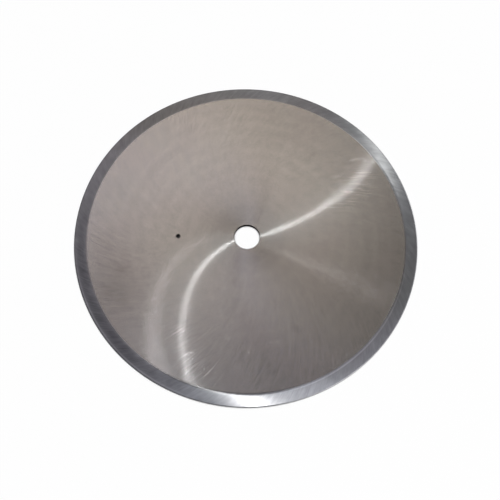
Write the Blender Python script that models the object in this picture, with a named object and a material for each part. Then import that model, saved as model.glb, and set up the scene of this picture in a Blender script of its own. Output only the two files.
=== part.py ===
# A toothless cut-off saw blade: one flat disc of hardened steel with a plain bore, a small
# pin hole and a rim ground to a cutting edge from both sides. It lies flat, +Z up, with its
# origin at the middle of the lower face.

import math

import bmesh
import bpy

# Sizes in metres.
BLADE_DIAMETER = 0.400
BLADE_THICKNESS = 0.0040
BORE_DIAMETER = 0.030
BORE_EDGE_BREAK = 0.0003  # small 45 degree chamfer at each mouth of the bore
PIN_HOLE_DIAMETER = 0.0050
PIN_HOLE_DISTANCE = 0.080  # from the blade's axis to the pin hole's axis
PIN_HOLE_EDGE_BREAK = 0.0002
BEVEL_WIDTH = 0.013  # from the shoulder to the cutting edge, measured along the face
SHOULDER_RADIUS = 0.008  # soft corner where the flat face turns into the ground bevel
HONE_WIDTH = 0.0013  # steeper strip honed along the cutting edge
HONE_THICKNESS = 0.0012  # of the rim where the honed strip starts
EDGE_THICKNESS = 0.0002  # narrow land that the honing leaves on the cutting edge

# How finely the round shapes are divided.
BLADE_STEPS = 192
SHOULDER_STEPS = 4
PIN_HOLE_STEPS = 40
SHARP_ANGLE = math.radians(10)

STEEL_COLOUR = (0.40, 0.385, 0.37, 1.0)
STEEL_ROUGHNESS = 0.32


def clear_scene():
    for obj in list(bpy.data.objects):
        bpy.data.objects.remove(obj, do_unlink=True)


def ground_steel():
    material = bpy.data.materials.new("ground_steel")
    material.use_nodes = True
    shader = material.node_tree.nodes["Principled BSDF"]
    shader.inputs["Base Color"].default_value = STEEL_COLOUR
    shader.inputs["Metallic"].default_value = 1.0
    shader.inputs["Roughness"].default_value = STEEL_ROUGHNESS
    return material


def shoulder_arc(corner_radius, half_thickness, slope):
    """Points of the soft corner between the flat face and a bevel that falls at slope."""
    tangent = SHOULDER_RADIUS * math.tan(slope / 2)
    centre_radius = corner_radius - tangent
    centre_height = half_thickness - SHOULDER_RADIUS
    arc = []
    for step in range(SHOULDER_STEPS + 1):
        turned = slope * step / SHOULDER_STEPS
        radius = centre_radius + SHOULDER_RADIUS * math.sin(turned)
        arc.append((radius, centre_height + SHOULDER_RADIUS * math.cos(turned)))
    return arc


def upper_half_outline():
    """Section of the upper half as (radius, height above the middle plane), from bore to edge."""
    bore_radius = BORE_DIAMETER / 2
    rim_radius = BLADE_DIAMETER / 2
    half_thickness = BLADE_THICKNESS / 2
    bevel_start = rim_radius - BEVEL_WIDTH
    hone_start = (rim_radius - HONE_WIDTH, HONE_THICKNESS / 2)
    slope = math.atan2(half_thickness - hone_start[1], hone_start[0] - bevel_start)
    outline = [
        (bore_radius, half_thickness - BORE_EDGE_BREAK),
        (bore_radius + BORE_EDGE_BREAK, half_thickness),
    ]
    outline += shoulder_arc(bevel_start, half_thickness, slope)
    outline += [hone_start, (rim_radius, EDGE_THICKNESS / 2)]
    return outline


def section_through(upper_half):
    """Whole section, down the outer side: the lower half mirrors the upper one."""
    lower_half = [(radius, -height) for radius, height in reversed(upper_half)]
    middle = BLADE_THICKNESS / 2
    return [(radius, height + middle) for radius, height in upper_half + lower_half]


def turned(name, section, steps):
    """Solid turned about Z from a closed section of (radius, height) points."""
    shape = bmesh.new()
    corners = [shape.verts.new((radius, 0.0, height)) for radius, height in section]
    sides = [shape.edges.new((corners[i - 1], corners[i])) for i in range(len(corners))]
    bmesh.ops.spin(
        shape,
        geom=corners + sides,
        axis=(0, 0, 1),
        cent=(0, 0, 0),
        angle=math.tau,
        steps=steps,
        use_merge=True,
    )
    bmesh.ops.remove_doubles(shape, verts=shape.verts, dist=1e-6)
    bmesh.ops.recalc_face_normals(shape, faces=shape.faces)
    mesh = bpy.data.meshes.new(name)
    shape.to_mesh(mesh)
    shape.free()
    mesh.shade_smooth()
    mesh.set_sharp_from_angle(angle=SHARP_ANGLE)
    obj = bpy.data.objects.new(name, mesh)
    bpy.context.collection.objects.link(obj)
    return obj


def flatten_faces(mesh):
    """Shades the level faces flat, so that the pin hole's rim stays crisp in them."""
    for face in mesh.polygons:
        if abs(face.normal.z) > math.cos(math.radians(0.5)):
            face.use_smooth = False


def pin_hole_cutter():
    """Drill that passes through both faces and breaks the hole's edges at 45 degrees."""
    radius = PIN_HOLE_DIAMETER / 2
    reach = BLADE_THICKNESS / 2
    flare = radius + PIN_HOLE_EDGE_BREAK + reach
    top = BLADE_THICKNESS
    section = [
        (0.0, top + reach),
        (flare, top + reach),
        (radius, top - PIN_HOLE_EDGE_BREAK),
        (radius, PIN_HOLE_EDGE_BREAK),
        (flare, -reach),
        (0.0, -reach),
    ]
    cutter = turned("pin_hole_cutter", section, PIN_HOLE_STEPS)
    cutter.location.x = -PIN_HOLE_DISTANCE
    cutter.hide_render = True
    cutter.display_type = "WIRE"
    return cutter


def saw_blade():
    blade = turned("saw_blade", section_through(upper_half_outline()), BLADE_STEPS)
    flatten_faces(blade.data)
    blade.data.materials.append(ground_steel())
    drilling = blade.modifiers.new("pin_hole", "BOOLEAN")
    drilling.operation = "DIFFERENCE"
    drilling.solver = "EXACT"
    drilling.object = pin_hole_cutter()
    return blade


clear_scene()
saw_blade()
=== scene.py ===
import math

import bmesh
import bpy
from mathutils import Matrix, Vector


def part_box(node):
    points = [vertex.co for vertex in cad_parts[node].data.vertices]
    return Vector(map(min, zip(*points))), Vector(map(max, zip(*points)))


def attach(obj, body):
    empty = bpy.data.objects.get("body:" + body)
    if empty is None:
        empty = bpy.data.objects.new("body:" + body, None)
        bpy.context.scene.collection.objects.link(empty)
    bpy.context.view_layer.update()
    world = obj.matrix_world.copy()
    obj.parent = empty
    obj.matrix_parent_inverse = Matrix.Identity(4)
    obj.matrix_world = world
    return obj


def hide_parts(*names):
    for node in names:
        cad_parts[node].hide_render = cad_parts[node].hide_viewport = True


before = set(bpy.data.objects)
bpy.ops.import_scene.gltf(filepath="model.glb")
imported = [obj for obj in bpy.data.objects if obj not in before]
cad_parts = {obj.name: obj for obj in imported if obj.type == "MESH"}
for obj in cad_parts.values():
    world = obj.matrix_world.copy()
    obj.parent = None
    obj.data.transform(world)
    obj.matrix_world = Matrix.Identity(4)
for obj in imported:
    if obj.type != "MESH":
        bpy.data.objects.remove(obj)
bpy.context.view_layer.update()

bladeNode = "saw_blade"
bladeBody = "root"


# Node tools: a Wire is one number in a node tree, and plain expressions on it add Math nodes.
def feed(tree, slot, value):
    value = value.socket if isinstance(value, Wire) else value
    if isinstance(value, bpy.types.NodeSocket):
        tree.links.new(value, slot)
    else:
        slot.default_value = value


class Wire:
    def __init__(self, tree, socket):
        self.tree = tree
        self.socket = socket

    def math(self, operation, *values):
        node = self.tree.nodes.new("ShaderNodeMath")
        node.operation = operation
        for slot, value in zip(node.inputs, values):
            feed(self.tree, slot, value)
        return Wire(self.tree, node.outputs[0])

    def __add__(self, other):
        return self.math("ADD", self, other)

    __radd__ = __add__

    def __sub__(self, other):
        return self.math("SUBTRACT", self, other)

    def __rsub__(self, other):
        return self.math("SUBTRACT", other, self)

    def __mul__(self, other):
        return self.math("MULTIPLY", self, other)

    __rmul__ = __mul__

    def __truediv__(self, other):
        return self.math("DIVIDE", self, other)

    def __rtruediv__(self, other):
        return self.math("DIVIDE", other, self)

    def __neg__(self):
        return self.math("MULTIPLY", self, -1.0)

    def __abs__(self):
        return self.math("ABSOLUTE", self)

    def sqrt(self):
        return self.math("SQRT", self)

    def arcsine(self):
        return self.math("ARCSINE", self)

    def exponent(self):
        return self.math("EXPONENT", self)

    def sine(self):
        return self.math("SINE", self)

    def cosine(self):
        return self.math("COSINE", self)

    def fraction(self):
        return self.math("FRACT", self)

    def degrees(self):
        return self.math("DEGREES", self)

    def over(self, other):  # 1 where this is larger
        return self.math("GREATER_THAN", self, other)

    def held(self, low=0.0, high=1.0):
        raised = self.math("MAXIMUM", self, low)
        return raised.math("MINIMUM", raised, high)

    def ramp(self, start, end):  # 0 at start, 1 at end
        return ((self - start) / (end - start)).held()


class Bench:  # one node tree on the bench
    def __init__(self, tree):
        self.tree = tree

    def node(self, kind, settings=None, sockets=None):
        node = self.tree.nodes.new(kind)
        for name, value in (settings or {}).items():
            setattr(node, name, value)
        for name, value in (sockets or {}).items():
            feed(self.tree, node.inputs[name], value)
        return node

    def wire(self, node, output=0):
        return Wire(self.tree, node.outputs[output])

    def vector(self, x, y, z):
        return self.node("ShaderNodeCombineXYZ", None, {0: x, 1: y, 2: z}).outputs[0]

    def parts(self, vector):
        split = self.node("ShaderNodeSeparateXYZ", None, {0: vector})
        return [self.wire(split, i) for i in range(3)]

    def noise(self, place, scale, detail=2.0, roughness=0.5):
        made = self.node(
            "ShaderNodeTexNoise",
            {"noise_dimensions": "3D"},
            {"Vector": place, "Scale": scale, "Detail": detail, "Roughness": roughness},
        )
        return self.wire(made, "Fac")

    def blend(self, share, first, second, kind="MIX"):  # colours
        mix = self.node("ShaderNodeMix", {"data_type": "RGBA", "blend_type": kind})
        feed(self.tree, mix.inputs[0], share)
        feed(self.tree, mix.inputs[6], first)
        feed(self.tree, mix.inputs[7], second)
        return mix.outputs[2]


# Camera: nearly overhead, a little to the near side, as the photograph was taken. Its numbers come
# from a perspective fit of the rim and the bore in the photograph.
cameraView = {
    "place": (-0.01301, -0.40053, 0.97586),
    "aim": (0.02679, -0.01631, 0.004),
    "roll": math.radians(6.03),
    "lens": 64.88,
    "sensorWidth": 36.0,
    "shiftX": -0.0401,
    "nearest": 0.01,
}


def makeCamera():
    camera = bpy.data.objects.new("camera", bpy.data.cameras.new("camera"))
    camera.data.lens = cameraView["lens"]
    camera.data.sensor_width = cameraView["sensorWidth"]
    camera.data.shift_x = cameraView["shiftX"]
    camera.data.clip_start = cameraView["nearest"]
    place = Vector(cameraView["place"])
    forward = (Vector(cameraView["aim"]) - place).normalized()
    levelRight = forward.cross(Vector((0, 0, 1))).normalized()
    right = Matrix.Rotation(-cameraView["roll"], 3, forward) @ levelRight
    up = right.cross(forward)
    turn = Matrix((right, up, -forward)).transposed().to_4x4()
    camera.matrix_world = Matrix.Translation(place) @ turn
    bpy.context.collection.objects.link(camera)
    bpy.context.scene.camera = camera


makeCamera()
print("camera placed")


# Studio: pale floor, a soft sky and two small lamps that make the two pairs of curved highlights.
studio = {
    "floorSize": 8.0,
    "floorDrop": 0.0002,
    "floorColour": (0.86, 0.86, 0.86, 1.0),
    "floorGlow": 0.97,
    "shadeReach": 0.006,
    "shadeSamples": 8,
    "shadeFrom": 0.42,  # as little open sky as this leaves the floor dark
    "shadeTo": 0.62,
    "keyPlace": (0.44, -0.56, 1.42),
    "keySize": 0.045,
    "keyPower": 7.75,
    "keyColour": (1.0, 1.0, 1.0),
    "topPlace": (-0.156, 0.094, 1.99),
    "topSize": 0.11,
    "topPower": 0.235,
    "topColour": (1.0, 0.94, 0.95),
    "backgroundColour": (1.0, 1.0, 1.0, 1.0),  # what the camera sees past the floor
    "skyLevel": 0.06,
    "horizonLevel": 0.70,
    "horizonDepth": 0.16,
    "patchWidth": 0.13,
    # soft bright patches of the sky: where each lies seen from above, and its colour. The ten with both
    # numbers of the place on a grid of 0.22 come from a least-squares fit to the photograph, made by a
    # scratch program, and three of their numbers were changed by hand since. The other four were set one
    # by one.
    "patches": [
        ((-0.66, 0.44), (0.56, 0.58, 0.74)),
        ((-0.44, 0.22), (0.46, 0.48, 0.53)),
        ((-0.27, 0.36), (0.26, 0.24, 0.44)),
        ((-0.50, -0.60), (0.60, 0.60, 0.62)),
        ((0.00, -0.76), (0.80, 0.80, 0.83)),
        ((0.50, -0.60), (0.60, 0.60, 0.62)),
        ((0.00, -0.22), (0.75, 0.75, 0.87)),
        ((0.00, 0.44), (2.44, 2.09, 1.80)),
        ((0.22, -0.22), (1.70, 1.92, 2.03)),
        ((0.44, -0.22), (0.90, 0.92, 1.07)),
        ((0.66, -0.22), (1.19, 1.02, 1.07)),
        ((0.66, 0.44), (0.40, 0.40, 0.39)),
        ((0.88, -0.22), (2.67, 2.90, 3.23)),
        ((0.88, 0.22), (1.47, 1.46, 1.72)),
    ],
}


def makeFloor():
    size = studio["floorSize"] / 2
    drop = -studio["floorDrop"]
    mesh = bpy.data.meshes.new("floor")
    corners = [(-size, -size, drop), (size, -size, drop), (size, size, drop), (-size, size, drop)]
    mesh.from_pydata(corners, [], [(0, 1, 2, 3)])
    floor = bpy.data.objects.new("floor", mesh)
    bpy.context.collection.objects.link(floor)
    mesh.materials.append(floorPaint())


def floorPaint():
    material = bpy.data.materials.new("floorPaint")
    material.use_nodes = True
    material.node_tree.nodes.clear()
    bench = Bench(material.node_tree)
    rays = bench.node("ShaderNodeLightPath")
    seen = bench.wire(rays, "Is Camera Ray") + bench.wire(rays, "Is Glossy Ray")
    seen = (seen + bench.wire(rays, "Is Transmission Ray")).held()
    shade = bench.node(
        "ShaderNodeAmbientOcclusion",
        {"samples": studio["shadeSamples"]},
        {"Distance": studio["shadeReach"]},
    )
    paint = bench.node("ShaderNodeBsdfDiffuse", None, {"Color": studio["floorColour"]})
    level = bench.wire(shade, "AO").ramp(studio["shadeFrom"], studio["shadeTo"])
    glow = bench.node("ShaderNodeEmission", None, {"Strength": level})
    layers = {0: seen * studio["floorGlow"], 1: paint.outputs[0], 2: glow.outputs[0]}
    joined = bench.node("ShaderNodeMixShader", None, layers)
    bench.node("ShaderNodeOutputMaterial", None, {0: joined.outputs[0]})
    return material


def makeLamp(name, place, size, power, colour):
    lamp = bpy.data.objects.new(name, bpy.data.lights.new(name, "AREA"))
    lamp.data.shape = "DISK"
    lamp.data.size = size
    lamp.data.energy = power
    lamp.data.color = colour
    lamp.location = place
    lamp.rotation_euler = Vector(place).to_track_quat("Z", "Y").to_euler()
    bpy.context.collection.objects.link(lamp)


def makeSky():
    world = bpy.data.worlds.new("sky")
    bpy.context.scene.world = world
    world.use_nodes = True
    world.node_tree.nodes.clear()
    bench = Bench(world.node_tree)
    toSky = bench.node("ShaderNodeTexCoord").outputs["Generated"]
    across, away, height = bench.parts(toSky)
    horizon = bellCurve(height * height, studio["horizonDepth"]) * studio["horizonLevel"]
    channels = [horizon + studio["skyLevel"]] * 3
    for (patchX, patchY), colour in studio["patches"]:
        distance = (across - patchX) * (across - patchX) + (away - patchY) * (away - patchY)
        patch = bellCurve(distance, studio["patchWidth"]) * height.over(0.0)
        channels = [channel + patch * part for channel, part in zip(channels, colour)]
    colour = bench.node("ShaderNodeCombineColor", None, dict(enumerate(channels))).outputs[0]
    seen = bench.wire(bench.node("ShaderNodeLightPath"), "Is Camera Ray")
    colour = bench.blend(seen, colour, studio["backgroundColour"])
    light = bench.node("ShaderNodeBackground", None, {"Color": colour, "Strength": 1.0})
    bench.node("ShaderNodeOutputWorld", None, {0: light.outputs[0]})


def bellCurve(squaredDistance, width):
    return (squaredDistance * (-0.5 / width**2)).exponent()


makeFloor()
makeLamp("keyLamp", studio["keyPlace"], studio["keySize"], studio["keyPower"], studio["keyColour"])
makeLamp("topLamp", studio["topPlace"], studio["topSize"], studio["topPower"], studio["topColour"])
makeSky()
bpy.context.scene.view_settings.view_transform = "Standard"
print("studio ready")


# The blade's section and its holes. Outer size, thickness and bore come from the frame.
bladeShape = {
    "bevelWidth": 0.0136,  # from the shoulder to the cutting edge
    "shoulderRadius": 0.030,
    "honeWidth": 0.0008,
    "honeThickness": 0.0010,
    "edgeThickness": 0.0005,
    "boreEdgeBreak": 0.0003,
    "pinRadius": 0.0025,
    "pinDistance": 0.080,
    "pinEdgeBreak": 0.0002,
    "pinFlare": 0.002,  # how far the drill's cones run past both faces
    "faceMargin": 0.004,  # flat ring inside the shoulder that keeps the face's shading level
    "stepsRound": 720,
    "shoulderSteps": 10,
    "pinSteps": 64,
}
bladeMesh = {
    "wallSlope": 0.8,  # inside the shoulder, a normal that rises less than this is a hole's wall
    "drillWeld": 1e-6,
    "weld": 1e-7,
    "sharpAngle": math.radians(10),
    "flatAngle": math.radians(0.3),  # faces closer to level than this are shaded flat
}


def frameSizes():
    low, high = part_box(bladeNode)
    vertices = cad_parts[bladeNode].data.vertices
    boreRadius = min(math.hypot(v.co.x, v.co.y) for v in vertices)
    return {
        "outerRadius": (high[0] - low[0]) / 2,
        "thickness": high[2] - low[2],
        "boreRadius": boreRadius,
    }


def sizeInputs(tree, sizes):
    for name, value in sizes.items():
        kind = "NodeSocketInt" if isinstance(value, int) else "NodeSocketFloat"
        tree.interface.new_socket(name, in_out="INPUT", socket_type=kind).default_value = value
    for name in ("faceSteel", "holeSteel"):
        tree.interface.new_socket(name, in_out="INPUT", socket_type="NodeSocketMaterial")
    tree.interface.new_socket("blade", in_out="OUTPUT", socket_type="NodeSocketGeometry")


def choice(bench, kind, values):  # value of the point's own index
    pick = bench.node("GeometryNodeIndexSwitch", {"data_type": kind})
    while len(pick.index_switch_items) < len(values):
        pick.index_switch_items.new()
    feed(bench.tree, pick.inputs["Index"], bench.node("GeometryNodeInputIndex").outputs[0])
    for i, value in enumerate(values):
        feed(bench.tree, pick.inputs[i + 1], value)
    return pick.outputs[0]


def closedOutline(bench, points, radii=None, roundSteps=None):
    line = bench.node("GeometryNodeMeshLine", None, {"Count": len(points)}).outputs[0]
    placed = bench.node(
        "GeometryNodeSetPosition", None, {"Geometry": line, "Position": choice(bench, "VECTOR", points)}
    )
    curve = bench.node("GeometryNodeMeshToCurve", None, {0: placed.outputs[0]}).outputs[0]
    closed = bench.node("GeometryNodeSetSplineCyclic", None, {0: curve, "Cyclic": True}).outputs[0]
    if radii is None:
        return closed
    rounded = bench.node(
        "GeometryNodeFilletCurve",
        {"mode": "POLY"},
        {"Curve": closed, "Radius": choice(bench, "FLOAT", radii), "Count": roundSteps},
    )
    return rounded.outputs[0]


def turned(bench, outline, steps, reach):  # outline drawn as (radius - reach, -height)
    hoop = bench.node("GeometryNodeCurvePrimitiveCircle", None, {"Resolution": steps, "Radius": reach})
    return bench.node(
        "GeometryNodeCurveToMesh", None, {"Curve": hoop.outputs[0], "Profile Curve": outline}
    ).outputs[0]


def bladeOutline(bench, size):
    half = size["thickness"] * 0.5
    outer = size["outerRadius"]
    bore = size["boreRadius"]
    shoulder = outer - size["bevelWidth"]
    upper = [
        (bore, half - size["boreEdgeBreak"], 0.0),
        (bore + size["boreEdgeBreak"], half, 0.0),
        (shoulder - size["faceMargin"], half, 0.0),
        (shoulder, half, size["shoulderRadius"]),
        (outer - size["honeWidth"], size["honeThickness"] * 0.5, 0.0),
        (outer, size["edgeThickness"] * 0.5, 0.0),
    ]
    lower = [(radius, -height, rounding) for radius, height, rounding in reversed(upper)]
    points = [bench.vector(radius - outer, -(height + half), 0.0) for radius, height, _ in upper + lower]
    radii = [rounding for _, _, rounding in upper + lower]
    return closedOutline(bench, points, radii, size["shoulderSteps"])


def pinDrill(bench, size):
    radius = size["pinRadius"]
    top = size["thickness"]
    flare = size["pinFlare"]
    wide = radius + size["pinEdgeBreak"] + flare
    corners = [
        (0.0, top + flare),
        (wide, top + flare),
        (radius, top - size["pinEdgeBreak"]),
        (radius, size["pinEdgeBreak"]),
        (wide, -flare),
        (0.0, -flare),
    ]
    points = [bench.vector(across - wide, -height, 0.0) for across, height in corners]
    drill = turned(bench, closedOutline(bench, points), size["pinSteps"], wide)
    welded = {0: drill, "Distance": bladeMesh["drillWeld"]}
    merged = bench.node("GeometryNodeMergeByDistance", None, welded).outputs[0]
    place = bench.vector(-size["pinDistance"], 0.0, 0.0)
    return bench.node("GeometryNodeTransform", None, {0: merged, "Translation": place}).outputs[0]


def bladeTree(sizes):
    tree = bpy.data.node_groups.new("sawBladeTree", "GeometryNodeTree")
    sizeInputs(tree, sizes)
    bench = Bench(tree)
    given = bench.node("NodeGroupInput")
    size = {name: bench.wire(given, name) for name in sizes}
    disc = turned(bench, bladeOutline(bench, size), size["stepsRound"], size["outerRadius"])
    cut = bench.node("GeometryNodeMeshBoolean", {"operation": "DIFFERENCE", "solver": "EXACT"})
    feed(tree, cut.inputs["Mesh 1"], disc)
    feed(tree, cut.inputs["Mesh 2"], pinDrill(bench, size))
    real = bench.node("GeometryNodeRealizeInstances", None, {0: cut.outputs[0]}).outputs[0]
    steel = bench.node("GeometryNodeSetMaterial", None, {0: real, "Material": given.outputs["faceSteel"]})
    slope = bench.parts(bench.node("GeometryNodeInputNormal").outputs[0])[2]
    x, y, _ = bench.parts(bench.node("GeometryNodeInputPosition").outputs[0])
    inside = 1.0 - (x * x + y * y).sqrt().over(size["outerRadius"] - size["bevelWidth"])
    wall = (1.0 - abs(slope).over(bladeMesh["wallSlope"])) * inside
    walls = bench.node("GeometryNodeSetMaterial", None, {0: steel.outputs[0], "Selection": wall})
    feed(tree, walls.inputs["Material"], given.outputs["holeSteel"])
    bench.node("NodeGroupOutput", None, {0: walls.outputs[0]})
    return tree


def plainMesh(tree, values, name):
    host = bpy.data.objects.new(name, bpy.data.meshes.new(name + "Start"))
    bpy.context.collection.objects.link(host)
    modifier = host.modifiers.new("tree", "NODES")
    modifier.node_group = tree
    for item in tree.interface.items_tree:
        if item.item_type == "SOCKET" and item.in_out == "INPUT" and item.name in values:
            modifier[item.identifier] = values[item.name]
    evaluated = host.evaluated_get(bpy.context.evaluated_depsgraph_get())
    mesh = bpy.data.meshes.new_from_object(evaluated)
    host.modifiers.remove(modifier)
    host.data = mesh
    mesh.name = name
    return host


def finishMesh(mesh):
    shape = bmesh.new()
    shape.from_mesh(mesh)
    bmesh.ops.remove_doubles(shape, verts=shape.verts, dist=bladeMesh["weld"])
    bmesh.ops.recalc_face_normals(shape, faces=shape.faces)
    shape.to_mesh(mesh)
    shape.free()
    mesh.shade_smooth()
    mesh.set_sharp_from_angle(angle=bladeMesh["sharpAngle"])
    level = math.cos(bladeMesh["flatAngle"])
    for face in mesh.polygons:
        if abs(face.normal.z) > level:
            face.use_smooth = False


# Surface of the blade: how it was ground, and what use has left on it. Lengths in metres, turns in
# degrees. Names with hub say how much more of a value there is towards the bore.
steelLook = {
    "colour": (0.300, 0.302, 0.299, 1.0),
    "bevelColour": (0.386, 0.386, 0.39, 1.0),
    "roughness": 0.12,
    "hubRoughness": 0.072,
    "bevelRoughness": 0.375,
    "edgeColour": (0.33, 0.33, 0.335, 1.0),
    "edgeRoughness": 0.55,
    "bevelFrom": 0.0018,  # the bevel's look starts this far inside the shoulder
    "bevelFull": 0.0004,
    "edgeFade": 0.0001,
    "scratchRadius": 0.167,  # the grinding lines are arcs of this radius
    "scratchOffset": 0.00325,  # and pass the grinding centre at this distance
    "grindCentre": (0.0006, -0.0018),  # a little off the blade's axis
    "hubReach": 0.05,  # radius at which the hub values count in full
    "hubLimit": 1.5,  # and the most that they count for, closer in
    "linePitch": 0.0002,  # radians from one fine grinding line to the next
    "strayRate": 0.6,  # how often the stray turn of the lines changes, for each fine line
    "lineSlope": 0.60,  # how steep the sides of the fine lines are
    "hubLineSlope": 0.29,
    "lineShuffle": 997.0,  # spreads a line's own value evenly, to pick the deep lines by it
    "steepShare": 0.066,  # share of the lines that are cut deep
    "hubSteepShare": 0.092,
    "steepTilt": 0.60,  # how steep the sides of the deep lines are
    "bevelLineSlope": 0.2,
    "bevelTurn": 42.0,  # degrees from radial, at the middle of the bevel
    "bevelTurnRate": 470.0,  # more degrees for each metre outwards
    "firstTurn": -10.0,  # the directions of grinding that have a shader of their own
    "turnStep": 2.5,
    "turnCount": 24,
    "turnScatter": 2.5,
    "hubTurnScatter": 11.0,
    "bundleTurn": 26.0,  # degrees that a bundle of coarse lines lies off the rest
    "bundleStart": 0.085,  # radius past which the bundles show
    "bundleFull": 0.115,
    "bundleRange": (0.06, 0.3),  # part of the pattern that counts as a bundle
    "bevelTurnScatter": 15.0,
    # lighter and darker areas
    "toneScale": 13.0,
    "toneDepth": 0.05,
    "streakDepth": 0.10,
    "ringScale": 75.0,
    "ringDepth": 0.08,
    "ringPatchScale": 9.0,
    "ringPatchRange": (-0.05, 0.15),
    "tintScale": 17.0,
    "tintDepth": 0.05,
    "tintShare": 0.4,  # red gains this much of it and green loses as much
    "bevelStreakDepth": 0.75,
    "bevelToneDepth": 0.55,
}

# Noise drawn out along the grinding: how fast it changes across it and along it, and its detail.
linePatterns = {
    "fineLines": (1.0 / steelLook["linePitch"], 60.0, 0.0),
    "looseLines": (steelLook["strayRate"] / steelLook["linePitch"], 80.0, 0.0),
    "bundles": (140.0, 30.0, 0.0),
    "scuffLines": (230.0, 48.0, 0.0),
    "streaks": (60.0, 14.0, 3.0),
    "bevelTurns": (230.0, 60.0, 2.0),
    "bevelStreaks": (330.0, 40.0, 3.0),
    "bevelTones": (26.0, 110.0, 2.0),
}
patternRoughness = 0.55

# Marks of use, and painted highlights and painted shade: place in the blade's plane, reach of the soft
# spot, and how much lighter or darker.
# The places were read off one by one in the photograph.
steelMarksAndPaintedLight = {
    "smudgeAndShadeTint": (0.94, 0.985, 1.0),  # takes out blue first, so that dark smudges and the painted shade look brown
    # The small spots are smudges. The broad soft ones darken the face towards the bottom, the top and the
    # left: the one at the bottom is painted shade, and those on the left are partly brown smudges and
    # partly painted shade.
    "smudgesAndShade": [
        ((-0.150, -0.055), 0.022, -0.16),
        ((-0.1438, -0.0425), 0.004, -0.10),
        ((-0.1569, -0.0691), 0.005, -0.08),
        ((-0.1407, -0.0785), 0.006, -0.06),
        ((-0.165, -0.015), 0.016, -0.08),
        ((0.0796, 0.1083), 0.0025, -0.06),
        ((0.0804, 0.1414), 0.0020, -0.06),
        ((0.0772, 0.0032), 0.0030, -0.05),
        ((0.0544, -0.1101), 0.0030, -0.10),
        ((0.010, -0.158), 0.048, -0.15),
        ((0.050, 0.158), 0.040, -0.09),
        ((-0.142, -0.088), 0.018, -0.08),
    ],
    "dots": [
        ((-0.0467, -0.1574), 0.0006, 0.40),
        ((-0.0342, -0.1621), 0.0005, 0.40),
        ((-0.0207, -0.1229), 0.0018, 0.14),
        ((0.0024, -0.1388), 0.0005, 0.60),
        ((0.0269, -0.1271), 0.0007, 0.30),
        ((0.0348, -0.1263), 0.0007, 0.30),
        ((0.1114, -0.1407), 0.0006, 0.55),
        ((0.1109, -0.1483), 0.0005, 0.40),
    ],
    "glintingScuffs": [  # where single deep lines show, made lighter as painted glints: place, reach and strength
        ((0.104, 0.043), 0.009, 0.8),
        ((0.124, 0.058), 0.009, 1.0),
        ((0.141, 0.078), 0.010, 1.0),
        ((-0.074, -0.116), 0.007, 0.8),
        ((-0.070, -0.136), 0.008, 0.6),
        ((-0.060, -0.154), 0.009, 0.5),
        ((-0.039, -0.164), 0.008, 0.6),
        ((0.031, -0.125), 0.004, 0.5),
    ],
    "scuffGlintStrength": 3.0,
    "scuffRange": (0.06, 0.2),  # part of the pattern that counts as a deep line
    # thin painted highlights and painted shade round the rim: radius, width, middle angle, reach to each
    # side, lighter or darker
    "paintedRimLights": [
        # painted highlight on the shoulder at the lower right
        (0.1876, 0.0004, -45.0, 26.0, 0.70),
        # painted shade: a dark reflection on the shoulder, inside the bevel's highlight at the bottom
        (0.1858, 0.0009, -97.0, 20.0, -0.60),
        # painted shade: a dark reflection on the shoulder, beside the bevel's highlight at the upper
        # right
        (0.1868, 0.0005, 31.0, 10.0, -0.45),
        # painted highlight on the honed edge at the lower left
        (0.1978, 0.0006, -140.0, 26.0, 0.50),
        # painted shade that darkens the bevel at the lower left
        (0.1925, 0.0045, -150.0, 32.0, -0.30),
    ],
    "rimFade": (0.6, 1.4),  # shares of the reach between which such a line fades out
}


def bladeSurface(bench, sizes):  # the values that every part of the finish starts from
    look = steelLook
    surface = {"place": bench.node("ShaderNodeTexCoord").outputs["Object"]}
    x, y, _ = bench.parts(surface["place"])
    radius = (x * x + y * y).sqrt()
    centreX, centreY = look["grindCentre"]
    fromX = x - centreX
    fromY = y - centreY
    reach = (fromX * fromX + fromY * fromY).sqrt()
    bend = reach / (2 * look["scratchRadius"])
    level = (1.0 - bend * bend).sqrt()
    shoulder = sizes["outerRadius"] - sizes["bevelWidth"]
    surface["onBevel"] = radius.ramp(shoulder - look["bevelFrom"], shoulder - look["bevelFull"])
    honed = sizes["outerRadius"] - sizes["honeWidth"]
    surface["onEdge"] = radius.ramp(honed - look["edgeFade"], honed + look["edgeFade"])
    surface["hub"] = (look["hubReach"] / radius).held(0.0, look["hubLimit"])
    # the same two numbers all along one grinding line
    surface["arcX"] = (fromX * level - fromY * bend) / reach
    surface["arcY"] = (fromX * bend + fromY * level) / reach
    offCentre = (x * centreY - y * centreX) / (radius * radius)
    faceTurn = bend.arcsine() - (look["scratchOffset"] / reach).arcsine() + offCentre
    surface["faceTurn"] = faceTurn.degrees()
    middle = sizes["outerRadius"] - sizes["bevelWidth"] / 2
    surface["bevelTurn"] = (radius - middle) * look["bevelTurnRate"] + look["bevelTurn"]
    slant = (radius - middle) * (math.tan(math.radians(look["bevelTurn"])) / middle)
    surface["slantX"] = (x - y * slant) / radius
    surface["slantY"] = (y + x * slant) / radius
    surface.update(x=x, y=y, radius=radius, reach=reach)
    return surface


def drawnNoise(bench, x, y, along, pattern):
    across, lengthwise, detail = linePatterns[pattern]
    place = bench.vector(x * across, y * across, along * lengthwise)
    return bench.noise(place, 1.0, detail, patternRoughness) - 0.5


def faceLines(bench, surface, pattern):
    return drawnNoise(bench, surface["arcX"], surface["arcY"], surface["reach"], pattern)


def bevelLines(bench, surface, pattern):
    return drawnNoise(bench, surface["slantX"], surface["slantY"], surface["radius"], pattern)


def strongPart(pattern, limits):  # 0 below the lower limit, and never more than the upper one
    low, most = limits
    return (pattern - low).held(0.0, most)


def spot(surface, place, reach):  # 1 in the middle of a soft round mark
    offX = surface["x"] - place[0]
    offY = surface["y"] - place[1]
    return bellCurve(offX * offX + offY * offY, reach)


def mixed(share, first, second):
    return first * (1.0 - share) + second * share


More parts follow.
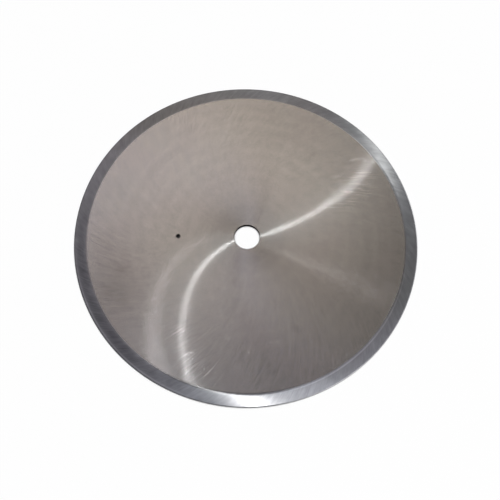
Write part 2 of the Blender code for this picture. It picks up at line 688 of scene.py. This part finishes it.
def scratchTurn(bench, surface):  # degrees clockwise from radial
    look = steelLook
    bundles = strongPart(faceLines(bench, surface, "bundles"), look["bundleRange"])
    bundles = bundles * surface["radius"].ramp(look["bundleStart"], look["bundleFull"])
    jitter = surface["hub"] * look["hubTurnScatter"] + look["turnScatter"]
    loose = faceLines(bench, surface, "looseLines") * jitter
    faceTurn = surface["faceTurn"] + loose + bundles * look["bundleTurn"]
    scatter = bevelLines(bench, surface, "bevelTurns") * look["bevelTurnScatter"]
    return mixed(surface["onBevel"], faceTurn, surface["bevelTurn"] + scatter)


# the steel's own tones and marks, with the painted highlights, glints and shade of the rim lines and the
# scuffs
def steelToneAndPaintedLight(bench, surface):  # lighter above 1 and darker below it
    look = steelLook
    marksAndLight = steelMarksAndPaintedLight
    tone = (bench.noise(surface["place"], look["toneScale"]) - 0.5) * look["toneDepth"]
    streaks = faceLines(bench, surface, "streaks") * look["streakDepth"]
    rings = bench.noise(bench.vector(surface["radius"] * look["ringScale"], 0.0, 0.0), 1.0) - 0.5
    ringPatches = bench.noise(surface["place"], look["ringPatchScale"], 0.0) - 0.5
    ringShare = ringPatches.ramp(*look["ringPatchRange"])
    face = tone + streaks + rings * ringShare * look["ringDepth"] + 1.0
    # deep grinding lines made lighter in colour: painted glints
    glintingLines = strongPart(faceLines(bench, surface, "scuffLines"), marksAndLight["scuffRange"])
    glintingLines = glintingLines * marksAndLight["scuffGlintStrength"]
    for place, reach, strength in marksAndLight["glintingScuffs"]:
        face = face + glintingLines * spot(surface, place, reach) * strength
    for place, reach, depth in marksAndLight["dots"]:
        face = face + spot(surface, place, reach) * depth
    slanted = bevelLines(bench, surface, "bevelStreaks") * look["bevelStreakDepth"]
    patches = bevelLines(bench, surface, "bevelTones") * look["bevelToneDepth"]
    shade = mixed(surface["onBevel"], face, slanted + patches + 1.0)
    for line in marksAndLight["paintedRimLights"]:
        shade = shade + paintedRimLine(surface, *line)
    return shade


# a thin painted highlight where depth is above 0, and painted shade where it is below
def paintedRimLine(surface, radius, width, angle, spread, depth):
    off = surface["radius"] - radius
    middle = math.radians(angle)
    towards = (surface["x"] * math.cos(middle) + surface["y"] * math.sin(middle)) / surface["radius"]
    inner, outer = (math.cos(math.radians(spread * share)) for share in steelMarksAndPaintedLight["rimFade"])
    return bellCurve(off * off, width) * towards.ramp(outer, inner) * depth


def steelColour(bench, surface):
    look = steelLook
    marksAndLight = steelMarksAndPaintedLight
    plain = bench.blend(surface["onBevel"], look["colour"], look["bevelColour"])
    plain = bench.blend(surface["onEdge"], plain, look["edgeColour"])
    smudgeAndShade = 0.0
    for place, reach, depth in marksAndLight["smudgesAndShade"]:
        smudgeAndShade = smudgeAndShade + spot(surface, place, reach) * depth
    smudgeAndShade = smudgeAndShade * (1.0 - surface["onBevel"])
    shade = steelToneAndPaintedLight(bench, surface)
    tint = (bench.noise(surface["place"], look["tintScale"], 1.0) - 0.5) * look["tintDepth"]
    redShare, greenShare, blueShare = marksAndLight["smudgeAndShadeTint"]
    red = shade + smudgeAndShade * redShare + tint * look["tintShare"]
    green = shade + smudgeAndShade * greenShare - tint * look["tintShare"]
    blue = shade + smudgeAndShade * blueShare
    toned = bench.node("ShaderNodeCombineColor", None, {0: red, 1: green, 2: blue}).outputs[0]
    return bench.blend(1.0, plain, toned, "MULTIPLY")


def lineNormal(bench, surface, turn):  # tilts the surface across the fine lines
    look = steelLook
    slope = look["lineSlope"] + surface["hub"] * look["hubLineSlope"]
    slope = mixed(surface["onBevel"], slope, look["bevelLineSlope"])
    line = faceLines(bench, surface, "fineLines")
    pick = (line * look["lineShuffle"]).fraction()
    steep = (surface["hub"] * look["hubSteepShare"] + look["steepShare"]) * (1.0 - surface["onBevel"])
    deep = ((pick / steep - 0.5) * math.pi).sine() * look["steepTilt"]
    tilt = mixed(steep.over(pick), line * slope, deep)
    angle = turn * (math.pi / 180)
    lineX = (surface["x"] * angle.cosine() + surface["y"] * angle.sine()) / surface["radius"]
    lineY = (surface["y"] * angle.cosine() - surface["x"] * angle.sine()) / surface["radius"]
    normalX, normalY, normalZ = bench.parts(bench.node("ShaderNodeNewGeometry").outputs["Normal"])
    tilted = bench.vector(normalX - lineY * tilt, normalY + lineX * tilt, normalZ)
    return bench.node("ShaderNodeVectorMath", {"operation": "NORMALIZE"}, {0: tilted}).outputs[0]


def groundSteel(sizes):
    look = steelLook
    material = bpy.data.materials.new("groundSteel")
    material.use_nodes = True
    material.node_tree.nodes.clear()
    bench = Bench(material.node_tree)
    surface = bladeSurface(bench, sizes)
    turn = scratchTurn(bench, surface)
    faceRough = surface["hub"] * look["hubRoughness"] + look["roughness"]
    rough = mixed(surface["onBevel"], faceRough, look["bevelRoughness"])
    rough = mixed(surface["onEdge"], rough, look["edgeRoughness"])
    normal = lineNormal(bench, surface, turn)
    steel = turnedSteel(bench, turn, steelColour(bench, surface), rough, normal)
    bench.node("ShaderNodeOutputMaterial", None, {0: steel})
    return material


def turnedSteel(bench, turn, colour, rough, normal):  # one shader for each direction of grinding
    look = steelLook
    surface = None
    for i in range(look["turnCount"]):
        angle = look["firstTurn"] + i * look["turnStep"]
        steel = bench.node(
            "ShaderNodeBsdfPrincipled",
            None,
            {
                "Base Color": colour,
                "Metallic": 1.0,
                "Roughness": rough,
                "Anisotropic": 1.0,
                "Anisotropic Rotation": (-angle / 360.0) % 1.0,
                "Normal": normal,
            },
        ).outputs[0]
        if surface is None:
            surface = steel
            continue
        share = turn.ramp(angle - look["turnStep"], angle)
        surface = bench.node("ShaderNodeMixShader", None, {0: share, 1: surface, 2: steel}).outputs[0]
    return surface


holeLook = {
    # near black, and with no shine below: painted shade that keeps the bore's wall and the pin hole dark
    "colour": (0.001, 0.001, 0.001, 1.0),
    "grimeColour": (0.006, 0.005, 0.005, 1.0),
    "grimeScale": 900.0,
    "grimeNoiseRoughness": 0.6,
    "roughness": 0.4,
    "grimeRoughness": 0.2,  # more of it where the grime is thick
    "shine": 0.0,
}


def paintedShadeHoleSteel():  # the dull dark walls of the bore and the pin hole, near black as painted shade
    look = holeLook
    material = bpy.data.materials.new("paintedShadeHoleSteel")
    material.use_nodes = True
    shader = material.node_tree.nodes["Principled BSDF"]
    shader.inputs["Specular IOR Level"].default_value = look["shine"]
    bench = Bench(material.node_tree)
    place = bench.node("ShaderNodeTexCoord").outputs["Object"]
    grime = bench.noise(place, look["grimeScale"], 2.0, look["grimeNoiseRoughness"])
    colour = bench.blend(grime, look["colour"], look["grimeColour"])
    feed(bench.tree, shader.inputs["Base Color"], colour)
    feed(bench.tree, shader.inputs["Roughness"], grime * look["grimeRoughness"] + look["roughness"])
    return material


def makeBlade():
    sizes = {**frameSizes(), **bladeShape}
    values = {**sizes, "faceSteel": groundSteel(sizes), "holeSteel": paintedShadeHoleSteel()}
    blade = plainMesh(bladeTree(sizes), values, "ground_blade")
    finishMesh(blade.data)
    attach(blade, bladeBody)
    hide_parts(bladeNode)
    return blade


blade = makeBlade()
print("blade made", len(blade.data.polygons), "faces")
